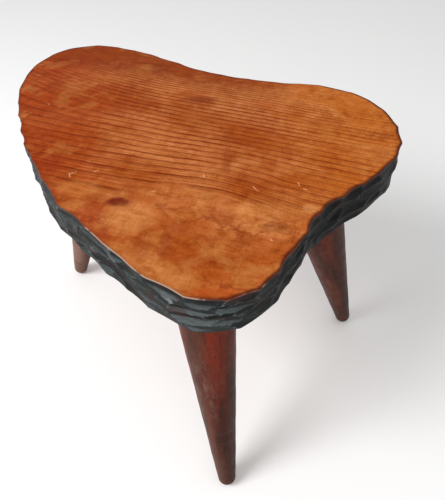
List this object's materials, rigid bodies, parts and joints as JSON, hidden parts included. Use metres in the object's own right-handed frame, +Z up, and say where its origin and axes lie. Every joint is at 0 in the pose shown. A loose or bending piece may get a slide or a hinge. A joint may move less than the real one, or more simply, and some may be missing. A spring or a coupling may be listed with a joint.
{
  "type": "three leg stool",
  "caption": "Low stool with a thick three-lobed plank seat, a gouge-carved dark rim and splayed tapered wooden legs that screw in.",
  "frame": {"origin": "on the floor under the middle of the whole stool's bounding box", "axes": "+Z up; -Y towards the front leg and the front lobe of the seat; +X towards the right-hand lobe"},
  "size_m": [0.4258, 0.4586, 0.32],
  "materials": {
    "seat_wood": "satin, stained softwood, painted carved rim",
    "leg_wood": "satin, dark mahogany stain",
    "zinc_steel": "zinc plated"
  },
  "bodies": {
    "seat_unit": {"seat": "seat_wood", "nut_plate_front": "zinc_steel", "plate_screw_front_1": "zinc_steel", "plate_screw_front_2": "zinc_steel", "plate_screw_front_3": "zinc_steel", "plate_screw_front_4": "zinc_steel", "nut_plate_right": "zinc_steel", "plate_screw_right_1": "zinc_steel", "plate_screw_right_2": "zinc_steel", "plate_screw_right_3": "zinc_steel", "plate_screw_right_4": "zinc_steel", "nut_plate_left": "zinc_steel", "plate_screw_left_1": "zinc_steel", "plate_screw_left_2": "zinc_steel", "plate_screw_left_3": "zinc_steel", "plate_screw_left_4": "zinc_steel"},
    "front_leg": {"leg_front": "leg_wood", "hanger_bolt_front": "zinc_steel"},
    "right_leg": {"leg_right": "leg_wood", "hanger_bolt_right": "zinc_steel"},
    "left_leg": {"leg_left": "leg_wood", "hanger_bolt_left": "zinc_steel"}
  },
  "joints": [
    {"name": "front_leg_unscrew", "type": "hinge", "parent": "seat_unit", "child": "front_leg", "pos_m": [0.0056, -0.133, 0.28], "axis": [0.0928, -0.3034, -0.9483], "range_deg": [0, 2790]},
    {"name": "right_leg_unscrew", "type": "hinge", "parent": "seat_unit", "child": "right_leg", "pos_m": [0.119, -0.0175, 0.28], "axis": [0.2958, 0.1147, -0.9483], "range_deg": [0, 2790]},
    {"name": "left_leg_unscrew", "type": "hinge", "parent": "seat_unit", "child": "left_leg", "pos_m": [-0.125, 0.063, 0.28], "axis": [-0.2634, 0.177, -0.9483], "range_deg": [0, 2790]}
  ]
}
